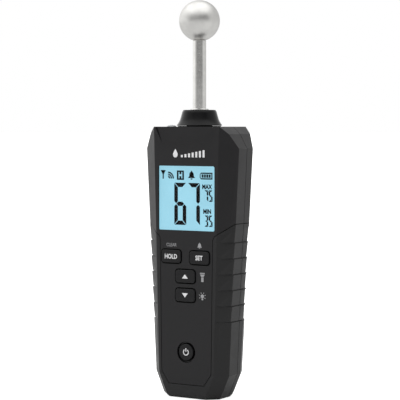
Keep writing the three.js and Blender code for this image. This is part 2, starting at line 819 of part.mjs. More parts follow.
frontCase();
rearCase();
grips();
caseScrews();
display();
keys();
keyMat();
keySwitches();
boards();
probe();
workLight();
batteryBay();
batteryDoor();

export default group;
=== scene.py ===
"""Hand-held ball-probe moisture meter: the finished look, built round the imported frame.

Metres, Z up, the display facing -Y. Every place comes from the frame's own boxes.
"""

import math

import bmesh
import bpy
from mathutils import Matrix, Vector
from mathutils.bvhtree import BVHTree


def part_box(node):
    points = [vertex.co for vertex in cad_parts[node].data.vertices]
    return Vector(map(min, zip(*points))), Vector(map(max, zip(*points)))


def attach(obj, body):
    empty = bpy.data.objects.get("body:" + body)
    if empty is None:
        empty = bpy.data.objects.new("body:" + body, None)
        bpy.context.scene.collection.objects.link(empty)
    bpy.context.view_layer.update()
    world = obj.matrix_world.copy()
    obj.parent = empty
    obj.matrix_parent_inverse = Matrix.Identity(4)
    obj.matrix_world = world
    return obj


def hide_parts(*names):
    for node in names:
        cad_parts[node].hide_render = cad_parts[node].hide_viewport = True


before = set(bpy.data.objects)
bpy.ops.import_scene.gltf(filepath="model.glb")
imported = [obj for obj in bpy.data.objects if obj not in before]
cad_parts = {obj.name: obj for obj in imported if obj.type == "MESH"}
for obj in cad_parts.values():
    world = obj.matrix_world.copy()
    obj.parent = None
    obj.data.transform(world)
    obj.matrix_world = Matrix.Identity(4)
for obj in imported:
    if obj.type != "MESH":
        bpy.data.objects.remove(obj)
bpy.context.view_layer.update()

bl_info = {
    "name": "Moisture Meter",
    "version": (1, 0, 0),
    "blender": (4, 5, 0),
    "location": "View3D > Sidebar > Meter",
    "description": "Builds the finished pieces of a ball-probe moisture meter",
    "category": "Add Mesh",
}

MM = 0.001
SHELL_NODES = ("front_case", "rear_case", "front_grip", "rear_grip")
KEY_NODES = ("hold_key", "set_key", "up_key", "down_key", "power_key")
CELL_NODES = ("battery_cell_1", "battery_cell_2", "battery_cell_3")
CASE_SCREWS = tuple(f"case_screw_{number}" for number in range(1, 7))
# The collar's flare: inward from its foot and up from its seat, in millimetres.
COLLAR_CURVE = (
    (0.15, 0.45),
    (0.4, 0.75),
    (0.72, 1.2),
    (1.07, 1.75),
    (1.35, 2.25),
    (1.6, 2.75),
    (1.8, 3.25),
    (2.0, 3.9),
    (2.2, 4.6),
    (2.42, 5.4),
    (2.62, 6.15),
    (2.8, 6.85),
    (2.98, 7.35),
)
WINDOW_LEDGE = 2.8 * MM
GROOVES = 5
GROOVE_PITCH = 2.2 * MM
GROOVE_HEIGHT = 0.9 * MM
GROOVE_DEPTH = 0.5 * MM
GROOVES_BELOW_TOP = 12 * MM
SCREW_HEAD_TALL = 1.4 * MM
CROSS_DEPTH = 0.8 * MM
KEY_WORD = 2.5 * MM
CASE_WORD = 1.75 * MM
POWER_RING = 1.75 * MM
POWER_STROKE = 0.5 * MM
SCALE_BARS = 7
SCALE_PITCH = 2.2 * MM
SCALE_BAR = 1.2 * MM
SCALE_STEP = 0.42 * MM
STUD_RADIUS = 2.5 * MM
STUD_LENGTH = 5.8 * MM
STUD_PLAY = 0.1 * MM
EDGE_BREAK = 0.2 * MM
COLLAR_BORE = 4.9 * MM
COLLAR_SPIGOT = 6.8 * MM
COLLAR_SHOULDER = 0.5 * MM
LENS_RADIUS = 2.5 * MM
LENS_CROWN = 0.9 * MM
LENS_FLANGE = 1.0 * MM
SLEEVE_SHARE = 0.72
NIPPLE_RADIUS = 1.9 * MM
FLOOR_RADIUS = 30.0
FLOOR_DROP = 0.2 * MM
FLOOR_LIGHT = 0.05
# The share of light from everywhere, then each lobe: towards, start, full, strength.
BASE_GLOW = 0.36
GLOWS = (
    ((-0.53, 0.85, 0.0), -0.72, -0.38, 0.6),
    ((-1.0, 0.15, 0.05), 0.45, 0.9, 0.7),
    ((0.0, -0.15, 1.0), 0.45, 0.85, 1.2),
)
SEGMENTS = {
    "0": "abcdef",
    "1": "bc",
    "2": "abged",
    "3": "abgcd",
    "4": "fgbc",
    "5": "afgcd",
    "6": "afgcde",
    "7": "abc",
    "8": "abcdefg",
    "9": "abcdfg",
}


# ---- sizes and colours that a user may change ----


class MeterSizes(bpy.types.PropertyGroup):
    case_round: bpy.props.FloatProperty(
        name="Case rounding", description="Width of the rounding along the case edges",
        default=1.0 * MM, unit="LENGTH",
    )
    skin: bpy.props.FloatProperty(
        name="Skin", description="How far the finished surface lies inside the frame's",
        default=0.02 * MM, unit="LENGTH",
    )
    lip: bpy.props.FloatProperty(
        name="Lip", description="Rounding where two pieces of the case meet",
        default=0.32 * MM, unit="LENGTH",
    )
    key_round: bpy.props.FloatProperty(
        name="Key rounding", description="Rounding round a key's top face",
        default=0.45 * MM, unit="LENGTH",
    )
    cover_round: bpy.props.FloatProperty(
        name="Cover rounding", description="Rounding round the battery cover's outer face",
        default=0.35 * MM, unit="LENGTH",
    )
    ink: bpy.props.FloatProperty(
        name="Ink", description="Thickness of a printed mark",
        default=0.03 * MM, unit="LENGTH",
    )
    turn_steps: bpy.props.IntProperty(
        name="Turned steps", description="Steps round a turned piece", default=72, min=24,
    )


class MeterColours(bpy.types.PropertyGroup):
    housing: bpy.props.FloatVectorProperty(
        name="Housing", description="Hard case", subtype="COLOR", size=3,
        default=(0.0062, 0.0058, 0.0068),
    )
    grip: bpy.props.FloatVectorProperty(
        name="Grip", description="Soft grip", subtype="COLOR", size=3,
        default=(0.0060, 0.0060, 0.0064),
    )
    key: bpy.props.FloatVectorProperty(
        name="Keys", description="Key rubber", subtype="COLOR", size=3,
        default=(0.0045, 0.0044, 0.0052),
    )
    ink: bpy.props.FloatVectorProperty(
        name="Ink", description="Printed marks on the keys", subtype="COLOR", size=3,
        default=(0.85, 0.85, 0.86),
    )
    dim_ink: bpy.props.FloatVectorProperty(
        name="Pale ink", description="Printed marks on the case", subtype="COLOR", size=3,
        default=(0.36, 0.36, 0.37),
    )
    display: bpy.props.FloatVectorProperty(
        name="Display", description="Lit display", subtype="COLOR", size=3,
        default=(0.34, 0.69, 0.84),
    )


class MeterStudio(bpy.types.PropertyGroup):
    azimuth: bpy.props.FloatProperty(
        name="Azimuth", description="Camera's turn round the meter", subtype="ANGLE",
        default=math.radians(32),
    )
    distance: bpy.props.FloatProperty(
        name="Distance", description="Camera to the meter's middle line",
        default=0.84, unit="LENGTH",
    )
    lens: bpy.props.FloatProperty(name="Lens", description="Focal length in mm", default=144.7)
    eye: bpy.props.FloatProperty(
        name="Eye height", description="Height of the camera", default=0.1413, unit="LENGTH",
    )
    aim: bpy.props.FloatProperty(
        name="Aim height", description="Height that the camera looks at",
        default=0.10265, unit="LENGTH",
    )
    aside: bpy.props.FloatProperty(
        name="Aside", description="How far the camera stands to the right",
        default=0.29 * MM, unit="LENGTH",
    )
    floor_glow: bpy.props.FloatProperty(
        name="Floor glow", description="Light that the floor gives by itself", default=0.8,
    )


def sizes():
    return bpy.context.scene.meter_sizes


def colours():
    return bpy.context.scene.meter_colours


def studio():
    return bpy.context.scene.meter_studio


# ---- mesh helpers ----


def copy_of(node):
    """A merged copy of a CAD node, with its flat faces whole again."""
    bm = bmesh.new()
    bm.from_mesh(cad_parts[node].data)
    bmesh.ops.remove_doubles(bm, verts=bm.verts, dist=1e-6)
    bmesh.ops.dissolve_limit(bm, angle_limit=math.radians(0.4), verts=bm.verts, edges=bm.edges)
    return bm


def to_object(bm, name):
    mesh = bpy.data.meshes.new(name)
    bm.to_mesh(mesh)
    bm.free()
    made = bpy.data.objects.new(name, mesh)
    bpy.context.scene.collection.objects.link(made)
    return made


def combined(bm, tool, operation):
    """The first bmesh cut by, joined to or held inside the second."""
    first = to_object(bm, "first")
    second = to_object(tool, "second")
    step = first.modifiers.new("cut", "BOOLEAN")
    step.operation = operation
    step.solver = "EXACT"
    step.object = second
    seen = first.evaluated_get(bpy.context.evaluated_depsgraph_get())
    result = bmesh.new()
    result.from_mesh(seen.to_mesh())
    seen.to_mesh_clear()
    bpy.data.objects.remove(first)
    bpy.data.objects.remove(second)
    bmesh.ops.remove_doubles(result, verts=result.verts, dist=2e-6)
    bmesh.ops.dissolve_degenerate(result, edges=result.edges, dist=1e-6)
    return result


def finished(bm, name, body, materials, nodes=()):
    """Turns a bmesh into a piece that rides on a body and stands for CAD nodes."""
    if not bm.faces:
        raise RuntimeError(f"{name} came out empty")
    made = to_object(bm, name)
    for finish in materials:
        made.data.materials.append(finish)
    made.data.shade_smooth()
    made.data.set_sharp_from_angle(angle=math.radians(32.0))
    weighted = made.modifiers.new("even shading", "WEIGHTED_NORMAL")
    weighted.keep_sharp = True
    weighted.weight = 70
    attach(made, body)
    if nodes:
        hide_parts(*nodes)


def block(x, y, z):
    bm = bmesh.new()
    bmesh.ops.create_cube(bm, size=1.0)
    bmesh.ops.scale(bm, vec=(x[1] - x[0], y[1] - y[0], z[1] - z[0]), verts=bm.verts)
    middle = ((x[0] + x[1]) / 2, (y[0] + y[1]) / 2, (z[0] + z[1]) / 2)
    bmesh.ops.translate(bm, vec=middle, verts=bm.verts)
    return bm


def turned(profile, steps=None, along="Z", middle=(0.0, 0.0, 0.0)):
    """Spins [radius, height] pairs about Z or Y, closed at the axis or on itself."""
    bm = bmesh.new()
    points = [bm.verts.new((radius, 0.0, height)) for radius, height in profile]
    for first, second in zip(points, points[1:]):
        bm.edges.new((first, second))
    bmesh.ops.spin(
        bm, geom=bm.verts[:] + bm.edges[:], cent=(0, 0, 0), axis=(0, 0, 1), dvec=(0, 0, 0),
        angle=2 * math.pi, steps=steps or sizes().turn_steps, use_merge=True, use_duplicate=False,
    )
    bmesh.ops.remove_doubles(bm, verts=bm.verts, dist=1e-6)
    if along == "Y":
        lying = Matrix.Rotation(-math.pi / 2, 3, "X")
        bmesh.ops.rotate(bm, verts=bm.verts, cent=(0, 0, 0), matrix=lying)
    bmesh.ops.translate(bm, vec=middle, verts=bm.verts)
    bmesh.ops.recalc_face_normals(bm, faces=bm.faces)
    return bm


def add_plate(bm, outline, front, thick):
    """Adds a flat plate that faces -Y, from (x, z) points."""
    face = bm.faces.new([bm.verts.new((x, front, z)) for x, z in outline])
    grown = bmesh.ops.extrude_face_region(bm, geom=[face], use_keep_orig=True)
    moved = [v for v in grown["geom"] if isinstance(v, bmesh.types.BMVert)]
    bmesh.ops.translate(bm, vec=(0, thick, 0), verts=moved)
    walls = {f for v in moved for f in v.link_faces}
    bmesh.ops.recalc_face_normals(bm, faces=[face, *walls])


def arc(middle, radius, start, end, steps):
    """Points round an arc, in degrees from +X towards +Z."""
    turn = [math.radians(start + (end - start) * i / steps) for i in range(steps + 1)]
    return [(middle[0] + radius * math.cos(a), middle[1] + radius * math.sin(a)) for a in turn]


def band(middle, inner, outer, start, end, steps=10):
    return arc(middle, outer, start, end, steps) + arc(middle, inner, end, start, steps)


def add_text(bm, words, height, middle, front, thick, weight=0.0, stretch=1.0):
    """Adds plain letters that face -Y, centred on (x, z)."""
    curve = bpy.data.curves.new("letters", "FONT")
    curve.body = words
    curve.align_x = "CENTER"
    curve.align_y = "CENTER"
    curve.size = 1.0
    curve.offset = weight
    curve.extrude = 0.5
    curve.resolution_u = 3
    shown = bpy.data.objects.new("letters", curve)
    bpy.context.scene.collection.objects.link(shown)
    mesh = bpy.data.meshes.new_from_object(shown.evaluated_get(bpy.context.evaluated_depsgraph_get()))
    letters = bmesh.new()
    letters.from_mesh(mesh)
    top = max(v.co.y for v in letters.verts)
    bottom = min(v.co.y for v in letters.verts)
    left = min(v.co.x for v in letters.verts)
    right = max(v.co.x for v in letters.verts)
    scale = height / (top - bottom)
    for v in letters.verts:
        across = (v.co.x - (left + right) / 2) * scale * stretch
        up = (v.co.y - (top + bottom) / 2) * scale
        v.co = Vector((middle[0] + across, front + (0.5 - v.co.z) * thick, middle[1] + up))
    bmesh.ops.remove_doubles(letters, verts=letters.verts, dist=1e-7)
    bmesh.ops.recalc_face_normals(letters, faces=letters.faces)
    letters.to_mesh(mesh)
    letters.free()
    bm.from_mesh(mesh)
    bpy.data.objects.remove(shown)
    bpy.data.curves.remove(curve)
    bpy.data.meshes.remove(mesh)


# ---- materials ----


class Finish:
    """A material with its nodes, on Object coordinates."""

    def __init__(self, name, roughness, metallic=0.0):
        self.material = bpy.data.materials.new(name)
        self.material.use_nodes = True
        self.tree = self.material.node_tree
        self.shader = self.tree.nodes["Principled BSDF"]
        self.shader.inputs["Metallic"].default_value = metallic
        self.shader.inputs["Roughness"].default_value = roughness
        self.place = self.node("ShaderNodeTexCoord").outputs["Object"]

    def node(self, kind, **values):
        made = self.tree.nodes.new(kind)
        for key, value in values.items():
            if key in made.inputs:
                made.inputs[key].default_value = value
            else:
                setattr(made, key, value)
        return made

    def link(self, source, target):
        self.tree.links.new(source, target)

    def noise(self, size, detail=2.0, stretch=None):
        """Noise whose marks are about size metres across."""
        made = self.node("ShaderNodeTexNoise", Scale=1.0 / size, Detail=detail)
        place = self.place
        if stretch:
            mapping = self.node("ShaderNodeMapping", Scale=stretch)
            self.link(place, mapping.inputs["Vector"])
            place = mapping.outputs["Vector"]
        self.link(place, made.inputs["Vector"])
        return made.outputs["Fac"]

    def ramp(self, source, low, high, start=0.3, end=0.7):
        made = self.node("ShaderNodeMapRange")
        made.inputs["From Min"].default_value = start
        made.inputs["From Max"].default_value = end
        made.inputs["To Min"].default_value = low
        made.inputs["To Max"].default_value = high
        self.link(source, made.inputs["Value"])
        return made.outputs["Result"]

    def colour(self, source, dark, light):
        made = self.node("ShaderNodeValToRGB")
        made.color_ramp.elements[0].position = 0.35
        made.color_ramp.elements[0].color = (*dark, 1.0)
        made.color_ramp.elements[1].position = 0.65
        made.color_ramp.elements[1].color = (*light, 1.0)
        self.link(source, made.inputs["Fac"])
        self.link(made.outputs["Color"], self.shader.inputs["Base Color"])
        return made.outputs["Color"]

    def rough(self, source, low, high):
        self.link(self.ramp(source, low, high), self.shader.inputs["Roughness"])

    def bump(self, source, depth, strength=1.0):
        made = self.node("ShaderNodeBump", Strength=strength, Distance=depth)
        self.link(source, made.inputs["Height"])
        self.link(made.outputs["Normal"], self.shader.inputs["Normal"])


def shade(colour, factor):
    return tuple(min(part * factor, 1.0) for part in colour)


def moulded(name, colour, roughness, grain, depth, shine=0.5):
    """Moulded plastic or rubber: a fine grain, with slow changes of gloss."""
    finish = Finish(name, roughness)
    finish.shader.inputs["Specular IOR Level"].default_value = shine
    fine = finish.noise(grain, 3.0)
    slow = finish.noise(9 * MM, 2.0)
    finish.colour(slow, shade(colour, 0.9), shade(colour, 1.12))
    finish.rough(slow, roughness - 0.04, roughness + 0.05)
    finish.bump(fine, depth)
    return finish.material


def dotted_rubber(name, colour):
    """Key rubber with fine raised dots."""
    finish = Finish(name, 0.5)
    cells = finish.node("ShaderNodeTexVoronoi", Scale=1.0 / (0.55 * MM), Randomness=0.25)
    finish.link(finish.place, cells.inputs["Vector"])
    dots = finish.ramp(cells.outputs["Distance"], 1.0, 0.0, 0.15, 0.5)
    finish.colour(dots, shade(colour, 0.7), shade(colour, 2.4))
    finish.bump(dots, 0.012 * MM)
    finish.shader.inputs["Specular IOR Level"].default_value = 0.3
    return finish.material


def turned_steel(name, colour, low, high, depth):
    """Steel turned on a lathe: fine rings round Z, and a satin blur."""
    finish = Finish(name, low, 1.0)
    rings = finish.noise(0.25 * MM, 2.0, (0.05, 0.05, 1.0))
    slow = finish.noise(4 * MM, 3.0)
    finish.colour(slow, shade(colour, 0.94), shade(colour, 1.04))
    finish.rough(rings, low, high)
    finish.bump(rings, depth)
    finish.shader.inputs["Specular Tint"].default_value = (0.8, 0.8, 0.8, 1.0)
    return finish.material


def plated_metal(name, colour, roughness):
    finish = Finish(name, roughness, 1.0)
    fine = finish.noise(0.4 * MM, 3.0)
    finish.colour(fine, shade(colour, 0.85), shade(colour, 1.1))
    finish.rough(fine, roughness - 0.06, roughness + 0.1)
    finish.bump(fine, 0.004 * MM)
    return finish.material


def printed_ink(name, colour, shine=0.5):
    finish = Finish(name, 0.55)
    finish.shader.inputs["Specular IOR Level"].default_value = shine
    finish.colour(finish.noise(0.5 * MM, 3.0), shade(colour, 0.93), colour)
    return finish.material


def clear_plastic(name, tint, roughness):
    finish = Finish(name, roughness)
    finish.shader.inputs["Alpha"].default_value = 0.07
    finish.colour(finish.noise(20 * MM, 1.0), shade(tint, 0.9), tint)
    return finish.material


def frosted_plastic(name, tint, roughness):
    finish = Finish(name, roughness)
    finish.shader.inputs["Transmission Weight"].default_value = 0.45
    finish.shader.inputs["IOR"].default_value = 1.47
    finish.colour(finish.noise(1.5 * MM, 2.0), shade(tint, 0.95), tint)
    return finish.material


def lit_display(name, colour):
    """The lit layer: bright, its tone a little deeper in slow random patches."""
    finish = Finish(name, 0.5)
    deep = finish.colour(finish.noise(16 * MM, 1.0), shade(colour, 0.93), colour)
    finish.link(deep, finish.shader.inputs["Emission Color"])
    finish.tree.links.remove(finish.shader.inputs["Base Color"].links[0])
    finish.colour(finish.noise(16 * MM, 1.0), shade(colour, 0.08), shade(colour, 0.1))
    finish.shader.inputs["Emission Strength"].default_value = 1.06
    return finish.material


def circuit_board(name):
    """Green resist with thin copper tracks under it."""
    finish = Finish(name, 0.4)
    tracks = finish.node("ShaderNodeTexBrick", Scale=1.0 / (6 * MM))
    tracks.inputs["Color1"].default_value = (0.012, 0.085, 0.03, 1)
    tracks.inputs["Color2"].default_value = (0.016, 0.11, 0.04, 1)
    tracks.inputs["Mortar"].default_value = (0.05, 0.2, 0.07, 1)
    tracks.inputs["Mortar Size"].default_value = 0.03
    turn = finish.node("ShaderNodeMapping", Rotation=(math.pi / 2, 0, 0))
    finish.link(finish.place, turn.inputs["Vector"])
    finish.link(turn.outputs["Vector"], tracks.inputs["Vector"])
    finish.link(tracks.outputs["Color"], finish.shader.inputs["Base Color"])
    finish.bump(tracks.outputs["Fac"], 0.02 * MM, 0.5)
    return finish.material


def material(finish):
    """The finish of that name, made once."""
    name = f"{finish}_finish"
    if name in bpy.data.materials:
        return bpy.data.materials[name]
    tint = colours()
    recipes = {
        "housing": lambda: moulded(name, tint.housing, 0.34, 0.32 * MM, 0.006 * MM, 0.36),
        "grip": lambda: moulded(name, tint.grip, 0.4, 0.22 * MM, 0.008 * MM, 0.4),
        "key": lambda: dotted_rubber(name, tint.key),
        "seal": lambda: moulded(name, (0.004, 0.004, 0.004), 0.75, 0.2 * MM, 0.005 * MM, 0.1),
        "collar": lambda: moulded(name, (0.002, 0.002, 0.0023), 0.16, 0.3 * MM, 0.001 * MM, 0.2),
        "tray": lambda: moulded(name, (0.02, 0.02, 0.022), 0.5, 0.3 * MM, 0.008 * MM),
        "white_plastic": lambda: moulded(name, (0.7, 0.7, 0.68), 0.45, 0.4 * MM, 0.004 * MM),
        "chip": lambda: moulded(name, (0.012, 0.012, 0.012), 0.45, 0.15 * MM, 0.004 * MM),
        "wire": lambda: moulded(name, (0.35, 0.02, 0.015), 0.4, 0.5 * MM, 0.004 * MM),
        "sleeve": lambda: moulded(name, (0.02, 0.06, 0.13), 0.28, 1.5 * MM, 0.002 * MM),
        "sleeve_band": lambda: moulded(name, (0.5, 0.5, 0.48), 0.28, 1.5 * MM, 0.002 * MM),
        "ball_steel": lambda: turned_steel(name, (0.64, 0.635, 0.615), 0.3, 0.4, 0.0012 * MM),
        "rod_steel": lambda: turned_steel(name, (0.69, 0.685, 0.665), 0.12, 0.19, 0.0004 * MM),
        "plated": lambda: plated_metal(name, (0.6, 0.6, 0.6), 0.32),
        "screw_steel": lambda: plated_metal(name, (0.35, 0.35, 0.36), 0.35),
        "brass": lambda: plated_metal(name, (0.62, 0.45, 0.18), 0.3),
        "board": lambda: circuit_board(name),
        "key_ink": lambda: printed_ink(name, tint.ink),
        "case_ink": lambda: printed_ink(name, tint.dim_ink),
        "display_ink": lambda: printed_ink(name, (0.002, 0.002, 0.003), 0.1),
        "window": lambda: clear_plastic(name, (0.02, 0.022, 0.024), 0.04),
        "lamp": lambda: frosted_plastic(name, (0.72, 0.74, 0.76), 0.3),
        "display": lambda: lit_display(name, tint.display),
    }
    return recipes[finish]()


def dress(finish, *nodes):
    """Gives CAD nodes that keep their shape a finish."""
    for node in nodes:
        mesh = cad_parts[node].data
        mesh.materials.clear()
        mesh.materials.append(material(finish))


# ---- places ----


def front_plane():
    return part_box("front_case")[0].y + sizes().skin


def window_frame():
    """Middle x, middle z, width and height of the opening over the display."""
    low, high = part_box("display_window")
    width = high.x - low.x - WINDOW_LEDGE
    height = high.z - low.z - WINDOW_LEDGE
    return (low.x + high.x) / 2, (low.z + high.z) / 2, width, height


def rounded_case():
    """The whole outer form, with its edges rounded and its faces just inside the frame's."""
    bm = bmesh.new()
    for node in SHELL_NODES:
        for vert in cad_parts[node].data.vertices:
            bm.verts.new(vert.co)
    bmesh.ops.remove_doubles(bm, verts=bm.verts, dist=0.02 * MM)
    skinned = bmesh.ops.convex_hull(bm, input=bm.verts)
    spare = skinned["geom_interior"] + skinned["geom_unused"]
    bmesh.ops.delete(bm, geom=list({v for v in spare if isinstance(v, bmesh.types.BMVert)}), context="VERTS")
    bmesh.ops.dissolve_limit(bm, angle_limit=math.radians(1.0), verts=bm.verts, edges=bm.edges)
    low = Vector([min(v.co[i] for v in bm.verts) for i in range(3)])
    high = Vector([max(v.co[i] for v in bm.verts) for i in range(3)])
    middle = (low + high) / 2
    shrink = [1 - 2 * sizes().skin / (high[i] - low[i]) for i in range(3)]
    bmesh.ops.scale(bm, vec=shrink, space=Matrix.Translation(-middle), verts=bm.verts)
    edges = [e for e in bm.edges if e.calc_face_angle(0.0) > math.radians(4)]
    bmesh.ops.bevel(
        bm, geom=edges, offset=sizes().case_round, offset_type="OFFSET", segments=4, profile=0.5,
        affect="EDGES", clamp_overlap=True, material=-1,
    )
    bmesh.ops.recalc_face_normals(bm, faces=bm.faces)
    return bm


def lips_rounded(bm, case, width):
    """Rounds each outer edge that stands where a piece meets its neighbour."""
    skin = BVHTree.FromBMesh(case)
    lips = []
    for edge in bm.edges:
        if len(edge.link_faces) != 2 or edge.calc_face_angle_signed(0.0) < math.radians(50):
            continue
        ends = [skin.find_nearest(vert.co)[3] for vert in edge.verts]
        if max(ends) < 0.02 * MM:
            lips.append(edge)
    bmesh.ops.bevel(
        bm, geom=lips, offset=width, offset_type="OFFSET", segments=2, profile=0.5,
        affect="EDGES", clamp_overlap=True, material=-1,
    )


def rim_rounded(bm, facing, offset, segments=3):
    """Rounds the edge round the flat faces that lie furthest along a direction."""
    reach = max(v.co.dot(facing) for v in bm.verts)
    top = [f for f in bm.faces if all(abs(v.co.dot(facing) - reach) < 1e-6 for v in f.verts)]
    inside = set(top)
    rim = [e for f in top for e in f.edges if sum(g in inside for g in e.link_faces) == 1]
    bmesh.ops.bevel(
        bm, geom=list(set(rim)), offset=offset, offset_type="OFFSET", segments=segments,
        profile=0.5, affect="EDGES", clamp_overlap=True, material=-1,
    )


# ---- operators: one for each piece or group of like pieces ----


class METER_OT_cases(bpy.types.Operator):
    """Front and rear case halves, rounded along their edges"""

    bl_idname = "meter.cases"
    bl_label = "Case halves"

    def execute(self, context):
        for node in ("front_case", "rear_case"):
            shell = combined(copy_of(node), rounded_case(), "INTERSECT")
            lips_rounded(shell, rounded_case(), sizes().lip)
            finished(shell, f"{node}_shell", "meter", [material("housing")], [node])
        return {"FINISHED"}


class METER_OT_grips(bpy.types.Operator):
    """Front and rear soft grips with their ribs"""

    bl_idname = "meter.grips"
    bl_label = "Soft grips"

    def execute(self, context):
        for node in ("front_grip", "rear_grip"):
            skin = combined(copy_of(node), rounded_case(), "INTERSECT")
            lips_rounded(skin, rounded_case(), sizes().lip)
            finished(skin, f"{node}_skin", "meter", [material("grip")], [node])
        return {"FINISHED"}


class METER_OT_battery_cover(bpy.types.Operator):
    """Battery cover with its thumb grooves, its seal and its screw"""

    bl_idname = "meter.battery_cover"
    bl_label = "Battery cover"

    def execute(self, context):
        cover = copy_of("battery_door")
        rim_rounded(cover, Vector((0, 1, 0)), sizes().cover_round)
        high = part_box("battery_door")[1]
        thumb = high.z - GROOVES_BELOW_TOP
        depth = (high.y - GROOVE_DEPTH, high.y + MM)
        for row in range(GROOVES):
            half = (7 - row) * MM
            z = thumb - row * GROOVE_PITCH
            groove = block((-half, half), depth, (z, z + GROOVE_HEIGHT))
            cover = combined(cover, groove, "DIFFERENCE")
        plate = "battery_cover_plate"
        finished(cover, plate, "battery_cover", [material("housing")], ["battery_door"])
        dress("seal", "door_seal")
        add_screw("door_screw", "cover_screw")
        return {"FINISHED"}


def add_screw(node, body):
    """A pan-head screw along Y with a cross recess."""
    low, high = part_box(node)
    x = (low.x + high.x) / 2
    z = (low.z + high.z) / 2
    head = (high.x - low.x) / 2
    shank = head * 0.56
    tall = SCREW_HEAD_TALL
    seat = high.y - low.y - tall
    profile = [(0, 0), (shank * 0.4, 0), (shank, 1.2 * MM), (shank, seat), (head, seat)]
    profile += [(head, seat + tall * 0.55), (head * 0.9, seat + tall * 0.82), (head * 0.7, seat + tall)]
    profile += [(0, seat + tall)]
    bm = turned(profile, 36, "Y", (x, low.y, z))
    arm = head * 0.58
    slot_half = head * 0.13
    deep = (high.y - CROSS_DEPTH, high.y + MM)
    bm = combined(bm, block((x - arm, x + arm), deep, (z - slot_half, z + slot_half)), "DIFFERENCE")
    bm = combined(bm, block((x - slot_half, x + slot_half), deep, (z - arm, z + arm)), "DIFFERENCE")
    finished(bm, f"{node}_turned", body, [material("screw_steel")], [node])


class METER_OT_case_screws(bpy.types.Operator):
    """The case screws"""

    bl_idname = "meter.case_screws"
    bl_label = "Case screws"

    def execute(self, context):
        for node in CASE_SCREWS:
            add_screw(node, "meter")
        return {"FINISHED"}


class METER_OT_keys(bpy.types.Operator):
    """The oblong keys and the round power key, with their printed marks"""

    bl_idname = "meter.keys"
    bl_label = "Keys"

    def execute(self, context):
        for node in KEY_NODES:
            body = node.replace("_key", "_button")
            cap = copy_of(node)
            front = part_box(node)[0].y
            for vert in cap.verts:
                if vert.co.y < front + 1e-6:
                    vert.co.y += sizes().ink
            rim_rounded(cap, Vector((0, -1, 0)), sizes().key_round)
            finished(cap, f"{node}_cap", body, [material("key")], [node])
            marks = bmesh.new()
            key_mark(marks, node, front)
            finished(marks, f"{node}_mark", body, [material("key_ink")])
        return {"FINISHED"}


def key_mark(bm, node, front):
    low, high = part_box(node)
    x = (low.x + high.x) / 2
    z = (low.z + high.z) / 2
    thick = 2 * sizes().ink
    if node == "hold_key":
        add_text(bm, "HOLD", KEY_WORD, (x, z), front, thick, 0.025, 0.84)
    elif node == "set_key":
        add_text(bm, "SET", KEY_WORD, (x, z), front, thick, 0.025, 0.84)
    elif node in ("up_key", "down_key"):
        half = 1.8 * MM
        rise = 1.1 * MM if node == "up_key" else -1.1 * MM
        add_plate(bm, [(x - half, z - rise), (x + half, z - rise), (x, z + rise)], front, thick)
    else:
        ring = band((x, z), POWER_RING - POWER_STROKE, POWER_RING, 125, 415, 28)
        add_plate(bm, ring, front, thick)
        half = POWER_STROKE / 2
        foot, top = z + 0.3 * MM, z + 2.1 * MM
        add_plate(bm, [(x - half, foot), (x + half, foot), (x + half, top), (x - half, top)], front, thick)


class METER_OT_case_marks(bpy.types.Operator):
    """The pale pictograms beside the keys and the plain drop scale over the display"""

    bl_idname = "meter.case_marks"
    bl_label = "Case marks"

    def execute(self, context):
        front = front_plane() - sizes().ink
        thick = 2 * sizes().ink
        pale = bmesh.new()
        hold_low, hold_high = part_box("hold_key")
        hold_x = (hold_low.x + hold_high.x) / 2
        set_low, set_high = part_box("set_key")
        set_x = (set_low.x + set_high.x) / 2
        label = hold_high.z + 1.3 * MM
        add_text(pale, "CLEAR", CASE_WORD, (hold_x, label + 0.3 * MM), front, thick, 0.0, 0.85)
        add_bell(pale, (set_x, label + 0.5 * MM), 1.4 * MM, front, thick)
        up_low, up_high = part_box("up_key")
        down_low, down_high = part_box("down_key")
        beside = up_high.x + 2.9 * MM
        add_torch(pale, (beside, (up_low.z + up_high.z) / 2), front, thick)
        add_bulb(pale, (beside, (down_low.z + down_high.z) / 2), front, thick)
        finished(pale, "case_marks", "meter", [material("case_ink")])
        bright = bmesh.new()
        middle_x, middle_z, _, height = window_frame()
        row = middle_z + height / 2 + 6.3 * MM
        add_drop(bright, (middle_x - 6.6 * MM, row), 2.0 * MM, front, thick)
        foot = row - 1.8 * MM
        for step in range(SCALE_BARS):
            left = middle_x - 3.2 * MM + SCALE_PITCH * step
            right = left + SCALE_BAR
            top = foot + 1.2 * MM + SCALE_STEP * step
            add_plate(bright, [(left, foot), (right, foot), (right, top), (left, top)], front, thick)
        finished(bright, "drop_scale", "meter", [material("key_ink")])
        return {"FINISHED"}


def add_drop(bm, middle, half, front, thick):
    """A plain water drop."""
    x, z = middle
    outline = arc((x, z - 0.25 * half), 0.72 * half, 200, 340, 12)
    outline += [(x + 0.72 * half, z), (x + 0.42 * half, z + 0.62 * half), (x, z + 1.25 * half)]
    outline += [(x - 0.42 * half, z + 0.62 * half), (x - 0.72 * half, z)]
    add_plate(bm, outline, front, thick)


def add_bell(bm, middle, half, front, thick):
    x, z = middle
    dome = arc((x, z + 0.15 * half), 0.62 * half, 0, 180, 10)
    outline = [(x - half, z - 0.75 * half), (x + half, z - 0.75 * half), (x + 0.66 * half, z - 0.3 * half)]
    outline += dome + [(x - 0.66 * half, z - 0.3 * half)]
    add_plate(bm, outline, front, thick)
    add_plate(bm, arc((x, z - 0.85 * half), 0.3 * half, 180, 360, 6), front, thick)
    add_plate(bm, arc((x, z + 0.85 * half), 0.2 * half, 0, 330, 6), front, thick)


